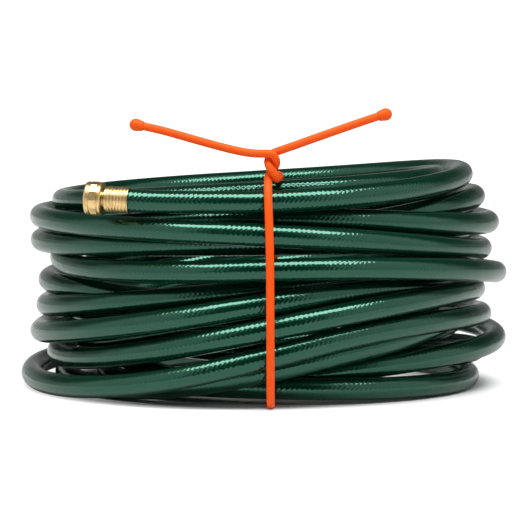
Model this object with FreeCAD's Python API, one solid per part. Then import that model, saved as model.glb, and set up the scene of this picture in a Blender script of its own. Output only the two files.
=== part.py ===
import FreeCAD, Part
import math
import os

# A green garden hose, coiled flat for storage, with brass couplings on both ends.
# An orange wire-cored twist tie gathers the turns at the front.
# Lengths are in millimetres. +Z is up, -Y is the front and +X is on the right.

os.makedirs("parts", exist_ok=True)

# Hose
hose_outside = 21.4
hose_bore = 15.9
hose_radius = hose_outside / 2
floor_flat = 0.5
floor_height = hose_radius - floor_flat
strand_spacing = 23.3
inner_limit = 140.0
outer_limit = 228.0

# Where the turns are wanted, from the female coupling down to the male one.
# Each row is one turn: its left, front, right and back place.
# A place is a distance from the coil's axis and a height.
# A third value is the climb per quarter turn, and it marks a place that is held.
# A fourth is the move away from the coil's axis per quarter turn.
wanted_turns = [
    [(207, 190, 8), (192, 206, 6), (195, 186, -16)],
    [(195, 179, 8), (185, 197, 14), (168, 203), (172, 177)],
    [(171, 168), (165, 181), (206, 185, -4), (196, 163)],
    [(192, 156), (192, 167), (219, 157, -6), (219, 158)],
    [(216, 163, 4), (215, 159, -14), (212, 131, -6), (216, 135)],
    [(216, 139, 6), (186, 143), (190, 153), (193, 139)],
    [(197, 126, -24), (215, 130, 18), (225, 110, -36), (218, 112)],
    [(211, 104, 12), (152, 130), (163, 141), (190, 115)],
    [(209, 81, 14), (190, 115), (182, 114), (177, 98)],
    [(176, 62), (175, 82), (165, 76), (190, 60)],
    [(199, 34, -24), (220, 72, 80), (204, 93, -25), (216, 89)],
    [(216, 52, 14), (213, 96.5, 66, -45), (176, 101), (186, 78)],
    [(176, 40), (165, 84), (150, 96), (158, 74)],
    [(150, 56), (152, 40, -14, 10), (209, 29, -2, 40), (229, 14, -2)],
    [(225, 13, -22), (217, 46, 110, -50), (211, 70, -12), (180, 55)],
    [(150, 33), (154, 17.5, 47), (224, 46, 10, 18), (208, 44)],
    [(192, 11, 0), (201, 28, 80, -5), (184, 58, 0), (194, 25)],
    [(163, 11), (178, 16.3, 0), (197, 11, 0), (143, 16.2, 0)],
]
settling_rounds = 900
samples_per_quarter = 8
pull_to_place = 0.05
pull_to_even_slope = 0.04
push_share = 0.4
slope_ease = 3.0
held_give = 0.04

# Layers of the hose wall, from the bore outwards
liner_outside = 18.0
braid_outside = 19.0

# Cut ends of the hose: each leaves its last turn straight for a little more than its own width
female_end = FreeCAD.Vector(-144.6, -187.5, 191.9)
female_yaw = 12.0
female_pitch = 2.5
end_run = 24.0

# Crimped ferrules, the same on both ends, measured outwards from the hose's cut end
ferrule_back = -22.0
ferrule_lip = 1.0
ferrule_bite = 0.1
ferrule_valley = 23.2
ferrule_ridge = 24.4
ferrule_ridge_pitch = 3.05
ferrule_ridges = 6
ferrule_flare = 24.8

# Brass stems inside the hose
stem_bore = 12.4
stem_inside_length = 21.0
stem_shank = 15.6
stem_barb = 16.2
stem_barb_pitch = 4.5
stem_barbs = 4
stem_neck = 16.5
neck_bite = 0.05

# Swivel nut and washer, measured outwards from the hose's cut end
nut_back = 3.2
nut_mouth = 18.8
nut_wall = 1.8
nut_rim = 30.6
nut_flats = 30.4
nut_groove = 29.0
nut_chamfer = 0.8
nut_sides = 12
swivel_gap = 0.35
swivel_end_gap = 0.3
flange_thickness = 1.8
flange_across = 24.8
nut_cavity = 25.8
washer_thickness = 3.0
washer_hole = 16.4
washer_bite = 0.1

# Garden hose thread: three quarter inch, eleven and a half threads to the inch
thread_pitch = 25.4 / 11.5
thread_nut_minor = 24.9
thread_nut_major = 27.0
thread_nose_major = 26.9
thread_nose_minor = 24.7
thread_nose_length = 14.0
collar_length = 5.0
collar_flats = 30.0

# Tie: rubber over a steel wire, with a ball on each end
tie_outside = 7.6
tie_wire_across = 2.4
tie_bite = 0.1
tie_ball = 11.6
tie_collar = 9.4
tie_collar_length = 7.0
tie_lowest = 0.2
tie_squeezed_top = 4.4
tie_lift = 6.1
tie_run_share = 0.45

# The twist is three quarters of a turn of two strands round each other, above the front of the coil
twist_centre = (8.0, -205.0)
twist_radius = 4.3
twist_bottom = 211.0
twist_height = 24.0

# Corners of the tie, from the left ball to the twist, round the coil, and from the twist to the right ball
left_arm = [(-117.3, -196, 260.7), (-98.9, -197.5, 257.4), (-66.7, -200, 248.3), (-33.6, -203, 239.2),
            (-10.6, -207, 234.6)]
leg_round_coil = [(4.2, -222.5, 198), (5.6, -231.5, 160), (6.1, -233.5, 128), (6.3, -238.3, 82),
                  (6.5, -230.5, 15), (6.7, -218, 2.3), (6.9, -176, 2.3), (7.9, -132.5, 2.3),
                  (8.1, -121.3, 15), (8.2, -122.5, 70), (9.0, -124, 128), (10.5, -134, 170),
                  (12.0, -158, 205), (13.0, -178, 214.2), (15.5, -193.5, 212.8)]
right_arm = [(25.3, -203, 240.9), (48.3, -203, 249.2), (81.4, -201.5, 260.7), (104.4, -200, 268.5),
             (112.2, -199.3, 270.4)]


def even_slope(stations, index):
    before = max(index - 1, 0)
    after = min(index + 1, len(stations) - 1)
    span = after - before
    return [(stations[after][j] - stations[before][j]) / span for j in (0, 1)]


def weights_at(t):
    start = 2 * t ** 3 - 3 * t ** 2 + 1
    start_slope = t ** 3 - 2 * t ** 2 + t
    end = 3 * t ** 2 - 2 * t ** 3
    end_slope = t ** 3 - t ** 2
    return (start, start_slope, end, end_slope)


def strand_at(stations, index, t):
    w = weights_at(t)
    a = stations[index]
    b = stations[index + 1]
    return [w[0] * a[j] + w[1] * a[j + 2] + w[2] * b[j] + w[3] * b[j + 2] for j in (0, 1)]


def lift_from_floor(stations, index, w, amount):
    eases = (w[0], w[1] * slope_ease, w[2], w[3] * slope_ease)
    total = sum(w[m] * eases[m] for m in range(4))
    stations[index][1] += amount * eases[0] / total
    stations[index][3] += amount * eases[1] / total
    stations[index + 1][1] += amount * eases[2] / total
    stations[index + 1][3] += amount * eases[3] / total


def push_strand(stations, gives, index, w, amounts):
    near = gives[index]
    far = gives[index + 1]
    eases = (w[0] * near, w[1] * slope_ease * near ** 0.5, w[2] * far, w[3] * slope_ease * far ** 0.5)
    total = sum(w[m] * eases[m] for m in range(4))
    for j in (0, 1):
        step = amounts[j] / total
        stations[index][j] += step * eases[0]
        stations[index][j + 2] += step * eases[1]
        stations[index + 1][j] += step * eases[2]
        stations[index + 1][j + 2] += step * eases[3]


def settle_turns():
    places = [place for row in wanted_turns for place in row]
    held = [len(place) > 2 for place in places]
    gives = [held_give if firm else 1.0 for firm in held]
    stations = [[float(place[0]), float(place[1])] for place in places]
    for index, station in enumerate(stations):
        station.extend(even_slope(stations, index))
    for station, place in zip(stations, places):
        if len(place) > 2:
            station[3] = float(place[2])
        if len(place) > 3:
            station[2] = float(place[3])
    wanted = [list(station) for station in stations]
    count = len(stations)
    for sweep in range(settling_rounds):
        for quarter in range(4):
            spans = list(range(quarter, count - 1, 4))
            for step in range(samples_per_quarter):
                t = step / samples_per_quarter
                w = weights_at(t)
                here = [strand_at(stations, index, t) for index in spans]
                for s, index in enumerate(spans):
                    lift = floor_height - here[s][1]
                    if lift > 0:
                        here[s][1] += lift
                        lift_from_floor(stations, index, w, lift)
                for a in range(len(spans)):
                    for b in range(a + 1, len(spans)):
                        across = here[b][0] - here[a][0]
                        up = here[b][1] - here[a][1]
                        if abs(up) > strand_spacing or abs(across) > strand_spacing:
                            continue
                        apart = math.hypot(across, up)
                        if apart >= strand_spacing:
                            continue
                        if apart < 0.01:
                            across = 0.0
                            up = 0.01
                            apart = 0.01
                        give_a = gives[spans[a]] * (1 - t) + gives[spans[a] + 1] * t
                        give_b = gives[spans[b]] * (1 - t) + gives[spans[b] + 1] * t
                        push = (strand_spacing - apart) * push_share / apart / (give_a + give_b)
                        for s, share in ((a, -push * give_a), (b, push * give_b)):
                            amounts = (share * across, share * up)
                            push_strand(stations, gives, spans[s], w, amounts)
                            here[s][0] += amounts[0]
                            here[s][1] += amounts[1]
        ease = pull_to_place * max(0.0, 1 - 1.3 * sweep / settling_rounds)
        for index, station in enumerate(stations):
            pull = max(ease, 0.01) if held[index] else ease
            slope = even_slope(stations, index)
            if held[index]:
                slope[1] = wanted[index][3]
            if len(places[index]) > 3:
                slope[0] = wanted[index][2]
            for j in (0, 1):
                station[j] += pull * (wanted[index][j] - station[j])
                station[j + 2] += pull_to_even_slope * (slope[j] - station[j + 2])
            lowest = floor_height + tie_lift if index % 4 == 0 else floor_height
            station[1] = max(station[1], lowest)
            station[0] = min(max(station[0], inner_limit), outer_limit)
    return stations


def station_point(stations, index):
    radius, height, radius_slope, climb = stations[index]
    angle = math.radians(-90 + 90 * index)
    cosine = math.cos(angle)
    sine = math.sin(angle)
    point = FreeCAD.Vector(radius * cosine, radius * sine, height)
    quarter = math.pi / 2
    along = FreeCAD.Vector(radius_slope * cosine - radius * sine * quarter,
                           radius_slope * sine + radius * cosine * quarter, climb)
    along.normalize()
    return (point, along)


def arc_edge(start, control, end):
    chord = end - start
    middle = (start + end) * 0.5
    towards = control - middle
    if towards.Length < 1e-6:
        return Part.makeLine(start, end)
    lean = (control - start).getAngle(chord)
    bulge = chord.Length / 2 * math.tan(lean / 2)
    towards.normalize()
    return Part.Arc(start, middle + towards * bulge, end).toShape()


def biarc_edges(start, start_along, end, end_along):
    chord = end - start
    turn = 2 * (1 - start_along.dot(end_along))
    reach = chord.dot(start_along + end_along)
    if turn < 1e-9:
        handle = chord.dot(chord) / (2 * reach)
    else:
        handle = (math.sqrt(reach * reach + turn * chord.dot(chord)) - reach) / turn
    first = start + start_along * handle
    second = end - end_along * handle
    middle = (first + second) * 0.5
    return [arc_edge(start, first, middle), arc_edge(middle, second, end)]


def tube(edges, across):
    path = Part.Wire(edges)
    start = edges[0].valueAt(edges[0].FirstParameter)
    along = edges[0].tangentAt(edges[0].FirstParameter)
    ring = Part.Wire([Part.makeCircle(across / 2, start, along)])
    return path.makePipeShell([ring], True, False)


def route_points(edges, spacing):
    points = []
    for edge in edges:
        count = max(2, int(math.ceil(edge.Length / spacing)))
        points.extend(edge.discretize(Number=count + 1)[:-1])
    points.append(edges[-1].valueAt(edges[-1].LastParameter))
    return points


def rounded_run(corners):
    points = [FreeCAD.Vector(*corner) for corner in corners]
    edges = []
    radii = []
    here = points[0]
    for before, corner, after in zip(points, points[1:], points[2:]):
        inward = corner - before
        outward = after - corner
        half_turn = inward.getAngle(outward) / 2
        trim = tie_run_share * min(inward.Length, outward.Length)
        radii.append(trim / math.tan(half_turn))
        inward.normalize()
        outward.normalize()
        arc_start = corner - inward * trim
        arc_end = corner + outward * trim
        edges.append(Part.makeLine(here, arc_start))
        edges.append(arc_edge(arc_start, corner, arc_end))
        here = arc_end
    edges.append(Part.makeLine(here, points[-1]))
    longest = max((b - a).Length for a, b in zip(points, points[1:]))
    print("tie run: longest", round(longest, 1), "mm, least bend radius", round(min(radii), 1), "mm")
    return edges


def end_of(edges):
    last = edges[-1]
    return (last.valueAt(last.LastParameter), last.tangentAt(last.LastParameter))


def start_of(edges):
    first = edges[0]
    return (first.valueAt(first.FirstParameter), first.tangentAt(first.FirstParameter))


def twist_stations(start_angle, rising):
    found = []
    way = -1 if rising else 1
    for quarter in range(4):
        angle = math.radians(start_angle + 90 * quarter * way)
        share = quarter / 3 if rising else 1 - quarter / 3
        point = FreeCAD.Vector(twist_centre[0] + twist_radius * math.cos(angle),
                               twist_centre[1] + twist_radius * math.sin(angle),
                               twist_bottom + twist_height * share)
        along = FreeCAD.Vector(-math.sin(angle) * twist_radius * math.pi / 2,
                               math.cos(angle) * twist_radius * math.pi / 2, -twist_height / 3) * way
        along.normalize()
        found.append((point, along))
    return found


def joined(stations):
    edges = []
    for (start, start_along), (end, end_along) in zip(stations, stations[1:]):
        edges.extend(biarc_edges(start, start_along, end, end_along))
    return edges


def revolved(profile):
    points = [FreeCAD.Vector(radius, 0, along) for radius, along in profile]
    face = Part.Face(Part.makePolygon(points + points[:1]))
    return face.revolve(FreeCAD.Vector(0, 0, 0), FreeCAD.Vector(0, 0, 1), 360)


def disc(across, low, high):
    return Part.makeCylinder(across / 2, high - low, FreeCAD.Vector(0, 0, low))


def faceted_band(flats, sides, low, high, chamfer):
    corner = flats / 2 / math.cos(math.pi / sides)
    points = []
    for index in range(sides + 1):
        angle = 2 * math.pi * (index + 0.5) / sides
        points.append(FreeCAD.Vector(corner * math.cos(angle), corner * math.sin(angle), low))
    prism = Part.Face(Part.makePolygon(points)).extrude(FreeCAD.Vector(0, 0, high - low))
    ends = corner - chamfer
    turned = revolved([(0, low), (ends, low), (corner, low + chamfer), (corner, high - chamfer),
                       (ends, high), (0, high)])
    return prism.common(turned)


def helical_ridge(wide, narrow, low, high):
    # The ridge is as wide as a thread's groove at the wide radius and a fine flat at the narrow one.
    path = Part.Wire([Part.makeHelix(thread_pitch, high - low, (wide + narrow) / 2)])
    base = thread_pitch * 0.44
    tip = thread_pitch * 0.06
    corners = [FreeCAD.Vector(wide, 0, -base), FreeCAD.Vector(narrow, 0, -tip),
               FreeCAD.Vector(narrow, 0, tip), FreeCAD.Vector(wide, 0, base)]
    profile = Part.makePolygon(corners + corners[:1])
    ridge = path.makePipeShell([profile], True, True)
    ridge.translate(FreeCAD.Vector(0, 0, low))
    return ridge


def end_placement(point, outward):
    return FreeCAD.Placement(point, FreeCAD.Rotation(FreeCAD.Vector(0, 0, 1), outward))


def placed(solid, placement):
    solid = solid.copy()
    solid.Placement = placement.multiply(solid.Placement)
    return solid


def save(shape, name):
    solid = shape.Solids[0]
    solid.exportStep("parts/" + name + ".step")
    corners = solid.tessellate(0.3)[0]
    low = [round(min(corner[axis] for corner in corners), 1) for axis in range(3)]
    high = [round(max(corner[axis] for corner in corners), 1) for axis in range(3)]
    print(name, "solids", len(shape.Solids), "valid", solid.isValid(), "volume",
          round(solid.Volume / 1000, 2), "cm3, from", low, "to", high)
    return solid


# The hose's route: a straight end, the settled turns, and a straight end again
stations = settle_turns()
stations[-1][3] = 0.0
yaw = math.radians(female_yaw)
pitch = math.radians(female_pitch)
female_inward = FreeCAD.Vector(math.cos(yaw) * math.cos(pitch), -math.sin(yaw) * math.cos(pitch),
                               -math.sin(pitch))
female_straight = Part.makeLine(female_end, female_end + female_inward * end_run)
turn_stations = [station_point(stations, index) for index in range(len(stations))]
turn_edges = joined([end_of([female_straight])] + turn_stations)
tail_start, tail_along = turn_stations[-1]
male_outward = FreeCAD.Vector(tail_along.x, tail_along.y, 0)
male_outward.normalize()
male_end = tail_start + male_outward * end_run
hose_edges = [female_straight] + turn_edges + [Part.makeLine(tail_start, male_end)]
hose_length = sum(edge.Length for edge in hose_edges)
bend_radii = [edge.Curve.Radius for edge in turn_edges if hasattr(edge.Curve, "Radius")]
print("hose length", round(hose_length), "mm, least bend radius", round(min(bend_radii), 1), "mm")

# The tie's route
down_twist = twist_stations(-90, False)
up_twist = twist_stations(0, True)
arm_in = rounded_run(left_arm)
leg = rounded_run(leg_round_coil)
arm_out = rounded_run(right_arm)
tie_edges = arm_in + joined([end_of(arm_in)] + down_twist + [start_of(leg)]) + leg
tie_edges += joined([end_of(leg)] + up_twist + [start_of(arm_out)]) + arm_out
tie_length = sum(edge.Length for edge in tie_edges)
print("tie length", round(tie_length), "mm")


def near_pairs(points, others, reach):
    cells = {}
    for index, point in enumerate(others):
        key = (int(point.x // reach), int(point.y // reach), int(point.z // reach))
        cells.setdefault(key, []).append(index)
    steps = [(i, j, k) for i in (-1, 0, 1) for j in (-1, 0, 1) for k in (-1, 0, 1)]
    for index, point in enumerate(points):
        x = int(point.x // reach)
        y = int(point.y // reach)
        z = int(point.z // reach)
        for i, j, k in steps:
            for other in cells.get((x + i, y + j, z + k), ()):
                yield (index, other, point.distanceToPoint(others[other]))


def least_self_gap(edges, across, spacing):
    points = route_points(edges, spacing)
    apart = int(3 * across / spacing)
    gaps = [(gap, points[i]) for i, j, gap in near_pairs(points, points, 2 * across) if j - i > apart]
    gap, point = min(gaps, key=lambda pair: pair[0])
    return (gap - across, point)


def least_gap(edges, across, other_edges, other_across, spacing):
    points = route_points(edges, spacing)
    others = route_points(other_edges, spacing)
    gaps = [(gap, points[i]) for i, j, gap in near_pairs(points, others, 40.0)]
    gap, point = min(gaps, default=(40.0, points[0]), key=lambda pair: pair[0])
    return (gap - across / 2 - other_across / 2, point)


gap, point = least_self_gap(hose_edges, hose_outside, 3.0)
print("hose: least gap to itself", round(gap, 2), "mm at", [round(v) for v in point])
gap, point = least_self_gap(tie_edges, tie_outside, 1.0)
print("tie: least gap to itself", round(gap, 2), "mm at", [round(v) for v in point])
female_axis = [Part.makeLine(female_end + female_inward * 23, female_end - female_inward * nut_mouth)]
male_axis = [Part.makeLine(male_end - male_outward * 23, male_end + male_outward * 22)]
inner_turns = joined(turn_stations[2:-2])
for name, axis in (("female", female_axis), ("male", male_axis)):
    gap, point = least_gap(axis, nut_rim, inner_turns, hose_outside, 3.0)
    print(name, "coupling: least gap to the turns", round(gap, 2), "mm at", [round(v) for v in point])
squeezed_height = tie_squeezed_top + tie_outside / 2
free_edges = [edge for edge in tie_edges if min(p.z for p in edge.discretize(Number=5)) > squeezed_height]
gap, point = least_gap(free_edges, tie_outside, hose_edges, hose_outside, 2.0)
print("tie: least gap to the hose", round(gap, 2), "mm at", [round(v) for v in point])
crossing = [point.z for point in route_points(hose_edges, 2.0)
            if abs(point.x - 7) < 8 and point.y < -118 and point.z < 40]
print("tie: least gap under the hose", round(min(crossing) - hose_radius - tie_squeezed_top, 2), "mm")

# Hose layers. The cover is cut flat where it rests on the floor.
across_layers = (hose_outside, braid_outside, liner_outside, hose_bore)
full_tubes = [tube(hose_edges, across) for across in across_layers]
above_floor = Part.makeBox(700, 700, 300, FreeCAD.Vector(-350, -350, 0))
layer_names = ("hose_cover", "hose_braid", "hose_liner")
for index, name in enumerate(layer_names):
    layer = full_tubes[index].cut(full_tubes[index + 1])
    if index == 0:
        layer = layer.common(above_floor)
    layer = save(layer, name)
    section = math.pi / 4 * (across_layers[index] ** 2 - across_layers[index + 1] ** 2)
    print("  volume over section times length", round(layer.Volume / section / hose_length, 5))


# Ferrules
def ferrule():
    back = ferrule_back
    grip = hose_radius - ferrule_bite
    hole = stem_neck / 2 - neck_bite
    valley = ferrule_valley / 2
    ridge = ferrule_ridge / 2
    flare = ferrule_flare / 2
    profile = [(hole, 0), (grip, 0), (grip, back), (flare, back), (flare, back + 0.8), (valley, back + 1.6)]
    for index in range(ferrule_ridges):
        foot = back + 2.4 + index * ferrule_ridge_pitch
        profile += [(valley, foot), (ridge, foot + 0.7), (ridge, foot + 1.7), (valley, foot + 2.4)]
    profile += [(valley, ferrule_lip - 0.8), (valley - 0.8, ferrule_lip), (hole, ferrule_lip)]
    return revolved(profile)


def shank_profile():
    profile = []
    tip = -stem_inside_length
    root = stem_shank / 2
    barb = stem_barb / 2
    profile += [(stem_bore / 2, tip), (root - 0.6, tip)]
    for index in range(stem_barbs):
        foot = tip + index * stem_barb_pitch
        low = root - 0.2 if index else root - 0.6
        profile += [(low, foot + 0.3), (barb, foot + 2.6), (barb, foot + 3.2), (root, foot + 3.2)]
    profile += [(root, 0), (stem_neck / 2, 0)]
    return profile


female_place = end_placement(female_end, female_inward * -1)
male_place = end_placement(male_end, male_outward)
save(placed(ferrule(), female_place), "female_ferrule")
save(placed(ferrule(), male_place), "male_ferrule")

# Female stem: its neck runs through the nut's back wall to a flange inside the nut
flange_low = nut_back + nut_wall + swivel_end_gap
flange_high = flange_low + flange_thickness
flange = flange_across / 2
profile = shank_profile()
profile += [(stem_neck / 2, flange_low), (flange - 0.4, flange_low), (flange, flange_low + 0.4),
            (flange, flange_high), (stem_bore / 2, flange_high)]
save(placed(revolved(profile), female_place), "female_stem")

# Swivel nut
hole = stem_neck / 2 + swivel_gap
cavity = nut_cavity / 2
cavity_end = flange_high + swivel_end_gap + washer_thickness + 0.2
rim = nut_rim / 2
neck = nut_groove / 2
turned = revolved([(0, nut_back), (rim - nut_chamfer, nut_back), (rim, nut_back + nut_chamfer), (rim, 5.8),
                   (rim - 0.4, 6.2), (neck, 6.2), (neck, 14.4), (rim - 0.4, 14.4), (rim, 14.8),
                   (rim, nut_mouth - 1.4), (rim - 0.7, nut_mouth), (0, nut_mouth)])
band = faceted_band(nut_flats, nut_sides, 7.2, 13.4, 0.5)
nut = turned.fuse(band)
nut = nut.cut(disc(2 * hole, nut_back - 1, nut_mouth))
nut = nut.cut(disc(nut_cavity, nut_back + nut_wall, cavity_end))
crest = thread_nut_minor / 2
mouth = revolved([(0, cavity_end - 0.1), (crest, cavity_end - 0.1), (crest, nut_mouth - 0.9),
                  (thread_nut_major / 2 + 0.2, nut_mouth + 0.15), (0, nut_mouth + 0.15)])
nut = nut.cut(mouth)
groove = helical_ridge(crest - 0.1, thread_nut_major / 2, cavity_end + 1.0, nut_mouth + 2.5)
nut = nut.cut(groove)
save(placed(nut, female_place), "coupling_nut")

# Washer, held by the nut
washer_low = flange_high + swivel_end_gap
washer = disc(nut_cavity + washer_bite, washer_low, washer_low + washer_thickness)
washer = washer.cut(disc(washer_hole, washer_low - 1, washer_low + washer_thickness + 1))
save(placed(washer, female_place), "hose_washer")

# Male coupling: shank, collar with flats and threaded nose in one turned piece
nose_start = nut_back + collar_length
nose_end = nose_start + thread_nose_length
major = thread_nose_major / 2
minor = thread_nose_minor / 2
profile = shank_profile()
profile += [(stem_neck / 2, nut_back - 0.5), (minor, nut_back), (minor, nose_start + 1.4),
            (major, nose_start + 2.2), (major, nose_end - 1.2), (minor, nose_end), (stem_bore / 2, nose_end)]
nose = revolved(profile)
collar = faceted_band(collar_flats, nut_sides, nut_back, nose_start, 0.7)
collar = collar.cut(disc(stem_bore, nut_back - 1, nose_start + 1))
male = nose.fuse(collar)
groove = helical_ridge(major + 0.1, minor, nose_start + 2.4, nose_end + 2.5)
male = male.cut(groove)
save(placed(male, male_place), "male_coupling")

# Tie
tie_body = tube(tie_edges, tie_outside)
left_ball, left_along = start_of(tie_edges)
right_ball, right_along = end_of(tie_edges)
for point, along in ((left_ball, left_along), (right_ball, right_along * -1)):
    tie_body = tie_body.fuse(Part.makeSphere(tie_ball / 2, point))
    tie_body = tie_body.fuse(Part.makeCylinder(tie_collar / 2, tie_collar_length, point, along))
squeeze = Part.makeBox(40, 68, 12, FreeCAD.Vector(-13, -209, tie_squeezed_top))
under = Part.makeBox(40, 160, 12, FreeCAD.Vector(-13, -260, tie_lowest - 12))
tie_body = tie_body.cut(squeeze).cut(under)
wire_hole = tube(tie_edges, tie_wire_across - tie_bite)
save(tie_body.cut(wire_hole), "tie_cover")
save(tube(tie_edges, tie_wire_across), "tie_wire")
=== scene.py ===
import math

import bpy
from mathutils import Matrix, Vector


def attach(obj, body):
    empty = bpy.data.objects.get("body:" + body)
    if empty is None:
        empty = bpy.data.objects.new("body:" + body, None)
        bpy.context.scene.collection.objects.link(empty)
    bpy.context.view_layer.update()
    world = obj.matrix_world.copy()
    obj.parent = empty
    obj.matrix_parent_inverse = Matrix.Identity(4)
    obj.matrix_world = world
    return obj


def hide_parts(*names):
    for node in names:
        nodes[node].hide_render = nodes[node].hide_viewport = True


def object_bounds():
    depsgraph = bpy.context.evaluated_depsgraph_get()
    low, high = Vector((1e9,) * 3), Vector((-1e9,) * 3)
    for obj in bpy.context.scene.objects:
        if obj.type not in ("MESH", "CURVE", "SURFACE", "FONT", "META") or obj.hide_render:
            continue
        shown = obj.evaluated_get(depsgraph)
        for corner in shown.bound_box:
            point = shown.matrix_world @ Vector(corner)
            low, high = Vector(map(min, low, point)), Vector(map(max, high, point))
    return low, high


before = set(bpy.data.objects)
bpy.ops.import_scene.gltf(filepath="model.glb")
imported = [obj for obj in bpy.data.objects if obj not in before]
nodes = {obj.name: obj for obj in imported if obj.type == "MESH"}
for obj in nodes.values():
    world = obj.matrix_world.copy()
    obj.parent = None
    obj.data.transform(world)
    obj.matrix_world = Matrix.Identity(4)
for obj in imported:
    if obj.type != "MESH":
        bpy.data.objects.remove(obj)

# A green braided garden hose, coiled flat, with brass couplings and an orange twist tie.
# Lengths are in metres. +Z is up, -Y is the front and +X is on the right.

cadLow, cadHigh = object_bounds()
scene = bpy.context.scene


class Wire:
    # A node's output that can stand in a sum

    def __init__(self, graph, socket):
        self.graph = graph
        self.socket = socket

    def math(self, operation, first, second=0.0):
        return self.graph.add("ShaderNodeMath", {"operation": operation}, {0: first, 1: second})

    def __add__(self, other):
        return self.math("ADD", self, other)

    def __radd__(self, other):
        return self.math("ADD", other, self)

    def __sub__(self, other):
        return self.math("SUBTRACT", self, other)

    def __rsub__(self, other):
        return self.math("SUBTRACT", other, self)

    def __mul__(self, other):
        return self.math("MULTIPLY", self, other)

    def __rmul__(self, other):
        return self.math("MULTIPLY", other, self)

    def __truediv__(self, other):
        return self.math("DIVIDE", self, other)

    def __rtruediv__(self, other):
        return self.math("DIVIDE", other, self)

    def __neg__(self):
        return self.math("MULTIPLY", self, -1.0)

    def sine(self):
        return self.math("SINE", self)

    def root(self):
        return self.math("SQRT", self)

    def largest(self, other):
        return self.math("MAXIMUM", self, other)

    def step(self, low, high):
        # Rises smoothly from 0 at low to 1 at high
        return self.graph.add("ShaderNodeMapRange", {"interpolation_type": "SMOOTHSTEP"},
                              {"Value": self, "From Min": low, "From Max": high})

    def parts(self):
        split = self.graph.add("ShaderNodeSeparateXYZ", sockets={0: self})
        return [Wire(self.graph, split.socket.node.outputs[axis]) for axis in range(3)]


class Graph:
    # The node tree of a material or of the world

    def __init__(self, owner):
        owner.use_nodes = True
        self.tree = owner.node_tree
        self.tree.nodes.clear()

    def add(self, kind, settings=None, sockets=None, output=0):
        node = self.tree.nodes.new(kind)
        for name, value in (settings or {}).items():
            setattr(node, name, value)
        for name, value in (sockets or {}).items():
            if isinstance(value, Wire):
                self.tree.links.new(value.socket, node.inputs[name])
            else:
                node.inputs[name].default_value = value
        return Wire(self, node.outputs[output]) if node.outputs else None

    def place(self):
        return self.add("ShaderNodeTexCoord", output="Object")

    def noise(self, scale, detail):
        return self.add("ShaderNodeTexNoise", None,
                        {"Vector": self.place(), "Scale": scale, "Detail": detail})

    def mixColours(self, share, first, second):
        return self.add("ShaderNodeMix", {"data_type": "RGBA"}, {0: share, 6: first, 7: second}, 2)

    def mixNumbers(self, share, first, second):
        return self.add("ShaderNodeMix", {"data_type": "FLOAT"}, {0: share, 2: first, 3: second})

    def rayIs(self, kind):
        return self.add("ShaderNodeLightPath", output=f"Is {kind} Ray")

    def bump(self, height):
        return self.add("ShaderNodeBump", None, {"Height": height, "Distance": 1.0})

    def surface(self, shader):
        self.add("ShaderNodeOutputMaterial", None, {"Surface": shader})

    def principled(self, **sockets):
        # Sockets are named as in Blender, with _ for a space
        named = {name.replace("_", " "): value for name, value in sockets.items()}
        self.surface(self.add("ShaderNodeBsdfPrincipled", None, named))


def newMaterial(name):
    material = bpy.data.materials.new(name)
    return material, Graph(material)


def dress(piece, material):
    # A node of the frame keeps its mesh and takes this material
    for slot in piece.material_slots:
        slot.link = "OBJECT"
        slot.material = material


def newPiece(name, vertices, faces, material):
    mesh = bpy.data.meshes.new(name)
    mesh.from_pydata(vertices, [], faces)
    mesh.polygons.foreach_set("use_smooth", [True] * len(faces))
    mesh.materials.append(material)
    mesh.update()
    piece = bpy.data.objects.new(name, mesh)
    scene.collection.objects.link(piece)
    return piece


# Camera
view = {
    "place": (0.0014, -3.6, 0.412),
    "downwards": 4.71,  # degrees
    "lens": 251.9,
    "sensor": 36.0,
    "farthest": 200.0,
}
cameraData = bpy.data.cameras.new("camera")
cameraData.sensor_width = view["sensor"]
cameraData.lens = view["lens"]
cameraData.clip_end = view["farthest"]
camera = bpy.data.objects.new("camera", cameraData)
camera.location = view["place"]
camera.rotation_euler = (math.radians(90.0 - view["downwards"]), 0.0, 0.0)
scene.collection.objects.link(camera)
scene.camera = camera
scene.view_settings.view_transform = "Standard"
print("camera made")


# Tubes, which the hose and the tie share
def outsideBy(angle):
    # Control points this angle apart stand this much outside the circle that their line follows
    return 8 / (6 + 2 * math.cos(angle))


def linePoints(name, controls, resolution):
    # Points along a smooth line that these control points pull on
    curve = bpy.data.curves.new(name, "CURVE")
    curve.dimensions = "3D"
    curve.resolution_u = resolution
    spline = curve.splines.new("NURBS")
    spline.points.add(len(controls) - 1)
    for point, control in zip(spline.points, controls):
        point.co = (*control, 1.0)
    spline.order_u = 3
    spline.use_endpoint_u = True
    holder = bpy.data.objects.new(name, curve)
    scene.collection.objects.link(holder)
    bpy.context.view_layer.update()
    settled = holder.evaluated_get(bpy.context.evaluated_depsgraph_get())
    mesh = bpy.data.meshes.new_from_object(settled)
    points = [vertex.co.copy() for vertex in mesh.vertices]
    bpy.data.meshes.remove(mesh)
    bpy.data.objects.remove(holder)
    bpy.data.curves.remove(curve)
    return points


def ringsAlong(points):
    # A centre, a tangent and two sideways directions at each point, with no needless twist
    rings = []
    side = Vector((0.0, 0.0, 1.0))
    for index, point in enumerate(points):
        before = points[max(index - 1, 0)]
        after = points[min(index + 1, len(points) - 1)]
        along = (after - before).normalized()
        side = (side - along * side.dot(along)).normalized()
        rings.append((point, along, side, along.cross(side)))
    return rings


def movedRing(ring, offset):
    # The same ring, further along its own tangent
    point, along, side, other = ring
    return point + along * offset, along, side, other


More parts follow.
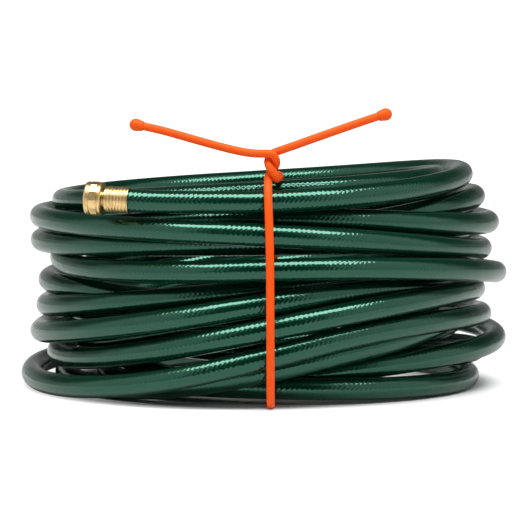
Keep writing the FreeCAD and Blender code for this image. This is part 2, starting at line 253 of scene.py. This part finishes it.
def tubePiece(name, rings, radii, sides, squeeze, material):
    # A tube through rings of these radii, where squeeze gives each vertex its last place
    vertices = []
    for (point, along, side, other), radius in zip(rings, radii):
        for index in range(sides):
            angle = 2 * math.pi * index / sides
            spot = point + side * (radius * math.cos(angle)) + other * (radius * math.sin(angle))
            vertices.append(squeeze(spot))
    faces = []
    for ring in range(len(rings) - 1):
        low = ring * sides
        high = low + sides
        for index in range(sides):
            following = (index + 1) % sides
            faces.append((low + index, low + following, high + following, high + index))
    return newPiece(name, vertices, faces, material)


def mapAlong(tube, name, alongs, sides):
    # A UV map of a tube: metres along it, and the share of a turn round it
    values = []
    for before, after in zip(alongs, alongs[1:]):
        for index in range(sides):
            turn = index / sides
            nextTurn = (index + 1) / sides
            values += [before, turn, before, nextTurn, after, nextTurn, after, turn]
    layer = tube.data.uv_layers.new(name=name)
    layer.data.foreach_set("uv", values)


def distancesAlong(points):
    total = 0.0
    found = [0.0]
    for before, after in zip(points, points[1:]):
        total += (after - before).length
        found.append(total)
    return found


# Hose: the turns are wanted where the photograph shows them, and then settle on each other.
# Each row of turns is a left, front, right and back place: distance from the axis, and height.
# The first row starts at the front.
# A third value is the climb per quarter turn, and it marks a place that is held.
# A fourth is the move away from the coil's axis per quarter turn.
hose = {
    "across": 0.0214,
    "bore": 0.0159,
    "length": 21.3,
    "femaleEnd": (-0.1446, -0.1875, 0.1919),
    "femaleYaw": 12.0,  # degrees
    "femalePitch": 2.5,
    "leadIn": (-0.043, -0.2091, 0.19),
    "endRun": 0.024,
    "boreShown": 0.02,
    "sides": 24,
    "resolution": 12,
    "stepsPerQuarter": 4,
    "floorHeight": 0.0102,  # of the line where the hose rests on the floor
    "tieLift": 0.0061,
    "spacing": 0.0233,
    "inner": 0.14,
    "outer": 0.228,
    "rounds": 900,
    "samples": 8,
    "toPlace": 0.05,
    "toPlaceFade": 1.3,
    "toHeldPlace": 0.01,
    "toEvenSlope": 0.04,
    "push": 0.4,
    "slopeEase": 3.0,
    "heldGive": 0.04,
    "leastApart": 0.00001,
    "turns": [
        [(0.207, 0.19, 0.008), (0.192, 0.206, 0.006), (0.195, 0.186, -0.016)],
        [(0.195, 0.179, 0.008), (0.185, 0.197, 0.014), (0.168, 0.203), (0.172, 0.177)],
        [(0.171, 0.168), (0.165, 0.181), (0.206, 0.185, -0.004), (0.196, 0.163)],
        [(0.192, 0.156), (0.192, 0.167), (0.219, 0.157, -0.006), (0.219, 0.158)],
        [(0.216, 0.163, 0.004), (0.215, 0.159, -0.014), (0.212, 0.131, -0.006), (0.216, 0.135)],
        [(0.216, 0.139, 0.006), (0.186, 0.143), (0.19, 0.153), (0.193, 0.139)],
        [(0.197, 0.126, -0.024), (0.215, 0.13, 0.018), (0.225, 0.11, -0.036), (0.218, 0.112)],
        [(0.211, 0.104, 0.012), (0.152, 0.13), (0.163, 0.141), (0.19, 0.115)],
        [(0.209, 0.081, 0.014), (0.19, 0.115), (0.182, 0.114), (0.177, 0.098)],
        [(0.176, 0.062), (0.175, 0.082), (0.165, 0.076), (0.19, 0.06)],
        [(0.199, 0.034, -0.024), (0.22, 0.072, 0.08), (0.204, 0.093, -0.025), (0.216, 0.089)],
        [(0.216, 0.052, 0.014), (0.213, 0.0965, 0.066, -0.045), (0.176, 0.101), (0.186, 0.078)],
        [(0.176, 0.04), (0.165, 0.084), (0.15, 0.096), (0.158, 0.074)],
        [(0.15, 0.056), (0.152, 0.04, -0.014, 0.01),
         (0.209, 0.029, -0.002, 0.04), (0.229, 0.014, -0.002)],
        [(0.225, 0.013, -0.022), (0.217, 0.046, 0.11, -0.05), (0.211, 0.07, -0.012), (0.18, 0.055)],
        [(0.15, 0.033), (0.154, 0.0175, 0.047), (0.224, 0.046, 0.01, 0.018), (0.208, 0.044)],
        [(0.192, 0.011, 0.0), (0.201, 0.028, 0.08, -0.005), (0.184, 0.058, 0.0), (0.194, 0.025)],
        [(0.163, 0.011), (0.178, 0.0163, 0.0), (0.197, 0.011, 0.0), (0.143, 0.0162, 0.0)],
    ],
}


def evenSlope(stations, index):
    # The slope from the place before to the place after
    before = max(index - 1, 0)
    after = min(index + 1, len(stations) - 1)
    return [(stations[after][axis] - stations[before][axis]) / (after - before) for axis in (0, 1)]


def weightsAt(t):
    # What a place, its slope, the next place and its slope count for, t of the way between
    return (2 * t ** 3 - 3 * t ** 2 + 1, t ** 3 - 2 * t ** 2 + t,
            3 * t ** 2 - 2 * t ** 3, t ** 3 - t ** 2)


def strandAt(stations, index, weights):
    # The strand's distance from the axis and its height between this place and the next
    here = stations[index]
    there = stations[index + 1]
    return [weights[0] * here[axis] + weights[1] * here[axis + 2]
            + weights[2] * there[axis] + weights[3] * there[axis + 2] for axis in (0, 1)]


def nudge(stations, index, weights, near, far, amounts):
    # Moves the strand between two places, which give way by near and far
    ease = hose["slopeEase"]
    shares = (weights[0] * near, weights[1] * ease * near ** 0.5,
              weights[2] * far, weights[3] * ease * far ** 0.5)
    total = sum(weight * share for weight, share in zip(weights, shares))
    for axis in (0, 1):
        amount = amounts[axis] / total
        stations[index][axis] += amount * shares[0]
        stations[index][axis + 2] += amount * shares[1]
        stations[index + 1][axis] += amount * shares[2]
        stations[index + 1][axis + 2] += amount * shares[3]


def pushApart(stations, gives, spans, here, t, weights):
    # Strands that are too close in this section of the coil move away from each other
    spacing = hose["spacing"]
    leastApart = hose["leastApart"]
    for a in range(len(spans)):
        for b in range(a + 1, len(spans)):
            across = here[b][0] - here[a][0]
            up = here[b][1] - here[a][1]
            if abs(up) > spacing or abs(across) > spacing:
                continue
            apart = math.hypot(across, up)
            if apart >= spacing:
                continue
            if apart < leastApart:
                across = 0.0
                up = leastApart
                apart = leastApart
            giveA = gives[spans[a]] * (1 - t) + gives[spans[a] + 1] * t
            giveB = gives[spans[b]] * (1 - t) + gives[spans[b] + 1] * t
            push = (spacing - apart) * hose["push"] / apart / (giveA + giveB)
            for s, share in ((a, -push * giveA), (b, push * giveB)):
                amounts = (share * across, share * up)
                span = spans[s]
                nudge(stations, span, weights, gives[span], gives[span + 1], amounts)
                here[s][0] += amounts[0]
                here[s][1] += amounts[1]


def settleTurns():
    # Each station is a distance from the axis, a height and the slopes of both
    places = [place for row in hose["turns"] for place in row]
    held = [len(place) > 2 for place in places]
    gives = [hose["heldGive"] if firm else 1.0 for firm in held]
    stations = [[place[0], place[1]] for place in places]
    for index, station in enumerate(stations):
        station.extend(evenSlope(stations, index))
    for station, place in zip(stations, places):
        if len(place) > 2:
            station[3] = place[2]
        if len(place) > 3:
            station[2] = place[3]
    wanted = [list(station) for station in stations]
    count = len(stations)
    floorHeight = hose["floorHeight"]
    for sweep in range(hose["rounds"]):
        for quarter in range(4):
            spans = list(range(quarter, count - 1, 4))
            for step in range(hose["samples"]):
                t = step / hose["samples"]
                weights = weightsAt(t)
                here = [strandAt(stations, index, weights) for index in spans]
                for s, index in enumerate(spans):
                    lift = floorHeight - here[s][1]
                    if lift > 0:
                        here[s][1] += lift
                        nudge(stations, index, weights, 1.0, 1.0, (0.0, lift))
                pushApart(stations, gives, spans, here, t, weights)
        ease = hose["toPlace"] * max(0.0, 1 - hose["toPlaceFade"] * sweep / hose["rounds"])
        for index, station in enumerate(stations):
            pull = max(ease, hose["toHeldPlace"]) if held[index] else ease
            slope = evenSlope(stations, index)
            if held[index]:
                slope[1] = wanted[index][3]
            if len(places[index]) > 3:
                slope[0] = wanted[index][2]
            for axis in (0, 1):
                station[axis] += pull * (wanted[index][axis] - station[axis])
                station[axis + 2] += hose["toEvenSlope"] * (slope[axis] - station[axis + 2])
            lowest = floorHeight + (hose["tieLift"] if index % 4 == 0 else 0.0)
            station[1] = max(station[1], lowest)
            station[0] = min(max(station[0], hose["inner"]), hose["outer"])
    return stations


def loopPoint(radius, height, quarters):
    angle = math.radians(-90 + 90 * quarters)
    return Vector((radius * math.cos(angle), radius * math.sin(angle), height))


stations = settleTurns()
stations[-1][3] = 0.0
yaw = math.radians(hose["femaleYaw"])
pitch = math.radians(hose["femalePitch"])
femaleEnd = Vector(hose["femaleEnd"])
femaleInward = Vector((math.cos(yaw) * math.cos(pitch), -math.sin(yaw) * math.cos(pitch),
                       -math.sin(pitch)))
lastRadius, lastHeight, lastSlope = stations[-1][:3]
lastQuarters = len(stations) - 1
tailStart = loopPoint(lastRadius, lastHeight, lastQuarters)
outwards = loopPoint(1.0, 0.0, lastQuarters)
onwards = loopPoint(1.0, 0.0, lastQuarters + 1)
maleOutward = (outwards * lastSlope + onwards * (lastRadius * math.pi / 2)).normalized()
maleEnd = tailStart + maleOutward * hose["endRun"]

# The line runs straight out of each coupling before it bends
endRun = hose["endRun"]
steps = hose["stepsPerQuarter"]
outside = outsideBy(math.pi / 2 / steps)
controls = [femaleEnd, femaleEnd + femaleInward * endRun, femaleEnd + femaleInward * 2 * endRun,
            Vector(hose["leadIn"])]
for quarter in range(len(stations) - 1):
    for step in range(steps):
        t = step / steps
        radius, height = strandAt(stations, quarter, weightsAt(t))
        controls.append(loopPoint(radius * outside, height, quarter + t))
controls += [tailStart - maleOutward * endRun, tailStart, maleEnd]
hoseLine = linePoints("hoseLine", controls, hose["resolution"])
hoseRings = ringsAlong(hoseLine)
hoseAlongs = distancesAlong(hoseLine)
print("hose line", len(hoseLine), "points,", round(hoseAlongs[-1], 3), "m")


def vinylMaterial():
    # Glossy vinyl, with the yarns of the braid showing through as slanting ripples
    look = {
        "colour": (0.001, 0.02, 0.0105, 1.0),
        "sheenTint": (0.4, 1.0, 0.75, 1.0),
        "roughness": 0.13,
        "specular": 0.9,
        "yarns": 12,
        "lead": 0.053,  # along the hose, for one turn of a yarn
        "yarnHeight": 0.000085,
        "yarnWobble": 5.0,
        "wobblesPerMetre": 90.0,
        "rightHandedShare": 0.35,
        "yarnPatchesPerMetre": 35.0,
        "yarnDetail": 1.0,
        "yarnFaintBelow": 0.3,
        "yarnFullAbove": 0.65,
        "yarnFaintest": 0.35,
        "lumpHeight": 0.0003,
        "lumpsPerMetre": 110.0,
        "lumpDetail": 1.5,
    }
    material, graph = newMaterial("hoseVinyl")
    along, turn = graph.add("ShaderNodeUVMap", {"uv_map": "alongHose"}).parts()[:2]
    full = 2 * math.pi * look["yarns"]
    wobble = graph.noise(look["wobblesPerMetre"], look["yarnDetail"]) * look["yarnWobble"]
    leftHanded = (turn * full + along * (full / look["lead"]) + wobble).sine()
    rightHanded = (turn * full - along * (full / look["lead"]) + wobble).sine()
    patches = graph.noise(look["yarnPatchesPerMetre"], look["yarnDetail"])
    patches = patches.step(look["yarnFaintBelow"], look["yarnFullAbove"])
    patches = patches * (1 - look["yarnFaintest"]) + look["yarnFaintest"]
    right = look["rightHandedShare"]
    yarn = (leftHanded * (1 - right) + rightHanded * right) * patches * look["yarnHeight"]
    lumps = graph.noise(look["lumpsPerMetre"], look["lumpDetail"]) * look["lumpHeight"]
    graph.principled(Base_Color=look["colour"], Roughness=look["roughness"],
                     Specular_IOR_Level=look["specular"], Specular_Tint=look["sheenTint"],
                     Normal=graph.bump(yarn + lumps))
    return material


def hosePiece():
    # Both ends turn in to the bore and go back along it a little
    back = hose["boreShown"]
    start = hoseRings[0]
    end = hoseRings[-1]
    length = hoseAlongs[-1]
    rings = [movedRing(start, back), start] + hoseRings + [end, movedRing(end, -back)]
    bore = hose["bore"] / 2
    radii = [bore, bore] + [hose["across"] / 2] * len(hoseRings) + [bore, bore]

    def insideBox(spot):
        # The tube is flat on the floor, and no wider than the solids
        return Vector((min(max(spot.x, cadLow.x), cadHigh.x), spot.y, max(spot.z, 0.0)))

    tube = tubePiece("hoseTube", rings, radii, hose["sides"], insideBox, vinylMaterial())
    mapAlong(tube, "alongHose", [-back, 0.0] + hoseAlongs + [length, length + back], hose["sides"])
    return tube


hoseTube = hosePiece()
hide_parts("hose_cover", "hose_braid", "hose_liner")
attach(hoseTube, "hose")
print("hose made")


# Tie: a rubber-covered wire from the left ball through the twist, round the coil,
# through the twist again and out to the right ball
tie = {
    "across": 0.0076,
    "lowest": 0.0002,
    "squeezedTop": 0.0044,
    "squeezedFrom": -0.209,
    "squeezedTo": -0.141,
    "squeezeEase": 0.006,
    "squeezeRise": 0.002,
    "underFrom": -0.24,
    "underTo": -0.12,
    "underHeight": 0.0152,
    "twistCentre": (0.008, -0.205),
    "twistRadius": 0.0037,
    "twistBottom": 0.211,
    "twistHeight": 0.024,
    "twistTurn": 270.0,  # degrees
    "twistSteps": 9,
    "leftArm": [(-0.1173, -0.196, 0.2607), (-0.0989, -0.1975, 0.2574), (-0.0667, -0.2, 0.2483),
                (-0.0336, -0.203, 0.2392), (-0.0106, -0.207, 0.2346)],
    "leg": [(0.0042, -0.2225, 0.198), (0.0056, -0.2315, 0.16), (0.0061, -0.2335, 0.128),
            (0.0063, -0.2383, 0.082), (0.0065, -0.2305, 0.015), (0.0067, -0.218, 0.0023),
            (0.0069, -0.176, 0.0023), (0.0079, -0.1325, 0.0023), (0.0081, -0.1213, 0.015),
            (0.0082, -0.1225, 0.07), (0.009, -0.124, 0.128), (0.0105, -0.134, 0.17),
            (0.012, -0.158, 0.205), (0.013, -0.178, 0.2142), (0.0155, -0.1935, 0.2128)],
    "rightArm": [(0.0253, -0.203, 0.2409), (0.0483, -0.203, 0.2492), (0.0814, -0.2015, 0.2607),
                 (0.1044, -0.2, 0.2685), (0.1122, -0.1993, 0.2704)],
    # Distance inwards from the end of the line, and radius
    "ballProfile": [(-0.0058, 0.0001), (-0.0056, 0.0015), (-0.0052, 0.00257), (-0.0044, 0.00378),
                    (-0.0032, 0.00484), (-0.0016, 0.00557), (0.0, 0.0058), (0.002, 0.0056),
                    (0.004, 0.0051), (0.0055, 0.00485), (0.0066, 0.0047), (0.007, 0.0044),
                    (0.0072, 0.0039), (0.0078, 0.0038)],
    "sides": 20,
    "resolution": 12,
}


def twistControls(startAngle, rising):
    # Going down, both strands turn from the front to the right
    steps = tie["twistSteps"]
    turn = tie["twistTurn"]
    way = -1 if rising else 1
    radius = tie["twistRadius"] * outsideBy(math.radians(turn / steps))
    found = []
    for step in range(steps + 1):
        angle = math.radians(startAngle + turn * step / steps * way)
        share = step / steps if rising else 1 - step / steps
        found.append((tie["twistCentre"][0] + radius * math.cos(angle),
                      tie["twistCentre"][1] + radius * math.sin(angle),
                      tie["twistBottom"] + tie["twistHeight"] * share))
    return found


def rubberMaterial():
    look = {
        "colour": (0.84, 0.082, 0.006, 1.0),
        "sheenTint": (1.0, 0.5, 0.25, 1.0),
        "roughness": 0.5,
        "specular": 0.4,
        "grainHeight": 0.00002,
        "grainsPerMetre": 900.0,
        "grainDetail": 2.0,
    }
    material, graph = newMaterial("tieRubber")
    grain = graph.noise(look["grainsPerMetre"], look["grainDetail"]) * look["grainHeight"]
    graph.principled(Base_Color=look["colour"], Roughness=look["roughness"],
                     Specular_IOR_Level=look["specular"], Specular_Tint=look["sheenTint"],
                     Normal=graph.bump(grain))
    return material


def underCoil(spot):
    # The run under the coil is pressed flat
    height = spot.z
    if height < tie["underHeight"] and tie["underFrom"] < spot.y < tie["underTo"]:
        beyond = max(tie["squeezedFrom"] - spot.y, spot.y - tie["squeezedTo"], 0.0)
        top = tie["squeezedTop"] + (beyond / tie["squeezeEase"]) ** 2 * tie["squeezeRise"]
        height = min(height, top)
    return Vector((spot.x, spot.y, max(height, tie["lowest"])))


def tiePiece():
    controls = (tie["leftArm"] + twistControls(-90, False) + tie["leg"]
                + twistControls(0, True) + tie["rightArm"])
    line = linePoints("tieLine", controls, tie["resolution"])
    alongs = distancesAlong(line)
    length = alongs[-1]
    print("tie line", len(line), "points,", round(length, 3), "m")
    lineRings = ringsAlong(line)
    profile = tie["ballProfile"]
    ballEnds = profile[-1][0]
    rings = [movedRing(lineRings[0], offset) for offset, radius in profile]
    radii = [radius for offset, radius in profile]
    for ring, along in zip(lineRings, alongs):
        if ballEnds < along < length - ballEnds:
            rings.append(ring)
            radii.append(tie["across"] / 2)
    for offset, radius in reversed(profile):
        rings.append(movedRing(lineRings[-1], -offset))
        radii.append(radius)
    return tubePiece("tieTube", rings, radii, tie["sides"], underCoil, rubberMaterial())


tieTube = tiePiece()
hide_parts("tie_cover", "tie_wire")
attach(tieTube, "hose")
print("tie made")


# Couplings: the frame's own nodes, dressed
def brassMaterial(name, axis):
    # Brass with faint turning marks across its axis, and duller patches
    look = {
        "bright": (0.72, 0.53, 0.25, 1.0),
        "dull": (0.56, 0.39, 0.16, 1.0),
        "smoothest": 0.28,
        "roughnessSpread": 0.12,
        "ringHeight": 0.000003,
        "ringsPerMetre": 2400.0,
        "marksPerMetre": 160.0,
        "marksDetail": 4.0,
        "brightBelow": 0.35,
        "dullAbove": 0.75,
    }
    material, graph = newMaterial(name)
    along = graph.add("ShaderNodeVectorMath", {"operation": "DOT_PRODUCT"},
                      {0: graph.place(), 1: axis}, "Value")
    rings = (along * (2 * math.pi * look["ringsPerMetre"])).sine() * look["ringHeight"]
    marks = graph.noise(look["marksPerMetre"], look["marksDetail"])
    dullness = marks.step(look["brightBelow"], look["dullAbove"])
    colour = graph.mixColours(dullness, look["bright"], look["dull"])
    roughness = marks * look["roughnessSpread"] + look["smoothest"]
    graph.principled(Base_Color=colour, Metallic=1.0, Roughness=roughness,
                     Normal=graph.bump(rings))
    return material


def washerMaterial():
    look = {
        "colour": (0.012, 0.012, 0.012, 1.0),
        "roughness": 0.6,
        "grainHeight": 0.00002,
        "grainsPerMetre": 700.0,
        "grainDetail": 2.0,
    }
    material, graph = newMaterial("washerRubber")
    grain = graph.noise(look["grainsPerMetre"], look["grainDetail"]) * look["grainHeight"]
    graph.principled(Base_Color=look["colour"], Roughness=look["roughness"],
                     Normal=graph.bump(grain))
    return material


femaleBrass = brassMaterial("femaleBrass", femaleInward)
maleBrass = brassMaterial("maleBrass", maleOutward)
for name in ("coupling_nut", "female_stem", "female_ferrule"):
    dress(nodes[name], femaleBrass)
for name in ("male_coupling", "male_ferrule"):
    dress(nodes[name], maleBrass)
dress(nodes["hose_washer"], washerMaterial())
print("couplings dressed")


# Light: one wide soft box over the front of the coil, and a pale room that is dark where the
# camera stands. The cosines are of angles off straight forwards, sideways or backwards.
light = {
    "place": (0.0, -0.55, 1.45),
    "tilt": 0.25,  # radians
    "wide": 1.8,
    "deep": 0.7,
    "power": 34.0,
    "backdrop": 1.0,
    "roomSeen": 0.9,
    "roomLight": 0.4,
    "darkCosine": math.cos(math.radians(16)),
    "paleCosine": math.cos(math.radians(42)),
    "darkBelow": 0.6,
    "paleAbove": 0.85,
    "sideCosine": 0.1,
    "backCosine": 0.5,
    "sweepTop": 0.12,
    "sweepFade": 0.4,
    "ceilingShade": 0.85,
    "leftShade": 0.45,
    "rightShade": 0.72,
    "sideEase": 0.2,
    "leastReach": 0.001,
}


def towardsFront(y, reach):
    # 1 in the cone in front of the coil, where the camera stands, and 0 well beside it
    return (-y / reach).step(light["paleCosine"], light["darkCosine"])


def towardsRight(x, reach):
    # 0 on the left and 1 on the right
    return (x / reach).step(-light["sideEase"], light["sideEase"])


def lightScene():
    data = bpy.data.lights.new("softBox", "AREA")
    data.shape = "RECTANGLE"
    data.size = light["wide"]
    data.size_y = light["deep"]
    data.energy = light["power"]
    lamp = bpy.data.objects.new("softBox", data)
    lamp.location = light["place"]
    lamp.rotation_euler = (light["tilt"], 0.0, 0.0)
    scene.collection.objects.link(lamp)

    world = bpy.data.worlds.new("room")
    scene.world = world
    graph = Graph(world)
    x, y, z = graph.add("ShaderNodeTexCoord", output="Generated").parts()
    reach = (x * x + y * y).root().largest(light["leastReach"])
    dark = towardsFront(y, reach) * (1.0 - z.step(light["darkBelow"], light["paleAbove"]))
    behind = (y / reach).step(light["sideCosine"], light["backCosine"])
    high = z.step(light["sweepTop"], light["sweepFade"])
    shade = towardsRight(x, reach) * (light["rightShade"] - light["leftShade"])
    shade = shade + light["leftShade"]
    room = (1.0 - dark) * (1.0 - behind * high * light["ceilingShade"]) * light["roomSeen"]
    room = room * (1.0 - behind * shade)
    direct = graph.rayIs("Camera").largest(graph.rayIs("Transmission"))
    strength = graph.mixNumbers(graph.rayIs("Glossy"), light["roomLight"], room)
    strength = graph.mixNumbers(direct, strength, light["backdrop"])
    background = graph.add("ShaderNodeBackground", None,
                           {"Color": (1.0, 1.0, 1.0, 1.0), "Strength": strength})
    graph.add("ShaderNodeOutputWorld", None, {"Surface": background})


lightScene()
print("lights made")


# Floor: matt under the coil, and glowing white to the camera away from it
floorLook = {
    "half": 120.0,
    "colour": (0.85, 0.85, 0.85, 1.0),
    "glow": 1.3,
    "nearShare": 0.7,
    "underCoil": 0.2,
    "besideCoil": 0.245,
    "nearEnd": 0.45,
    "farStart": 1.5,
    "paintedReflectionShare": 0.7,
    "rightShade": 0.55,
}


def floorPiece():
    half = floorLook["half"]
    material, graph = newMaterial("floor")
    x, y = graph.place().parts()[:2]
    out = (x * x + y * y).root()
    reach = out.largest(light["leastReach"])
    away = out.step(floorLook["nearEnd"], floorLook["farStart"])
    beside = out.step(floorLook["underCoil"], floorLook["besideCoil"])
    share = graph.rayIs("Camera") * beside
    share = share * (floorLook["nearShare"] + away * (1 - floorLook["nearShare"]))
    shade = 1.0 - towardsRight(x, reach) * floorLook["rightShade"]
    # To glossy rays the floor also glows far from the coil, apart from in front, and less on the
    # right: a painted reflection on the hose
    paintedReflection = graph.rayIs("Glossy") * (1.0 - towardsFront(y, reach)) * away
    share = share + paintedReflection * shade * floorLook["paintedReflectionShare"]
    matt = graph.add("ShaderNodeBsdfDiffuse", None, {"Color": floorLook["colour"]})
    glow = graph.add("ShaderNodeEmission", None, {"Strength": floorLook["glow"]})
    graph.surface(graph.add("ShaderNodeMixShader", None, {0: share, 1: matt, 2: glow}))
    corners = [(-half, -half, 0.0), (half, -half, 0.0), (half, half, 0.0), (-half, half, 0.0)]
    return newPiece("floor", corners, [(0, 1, 2, 3)], material)


floorPiece()
print("floor made")
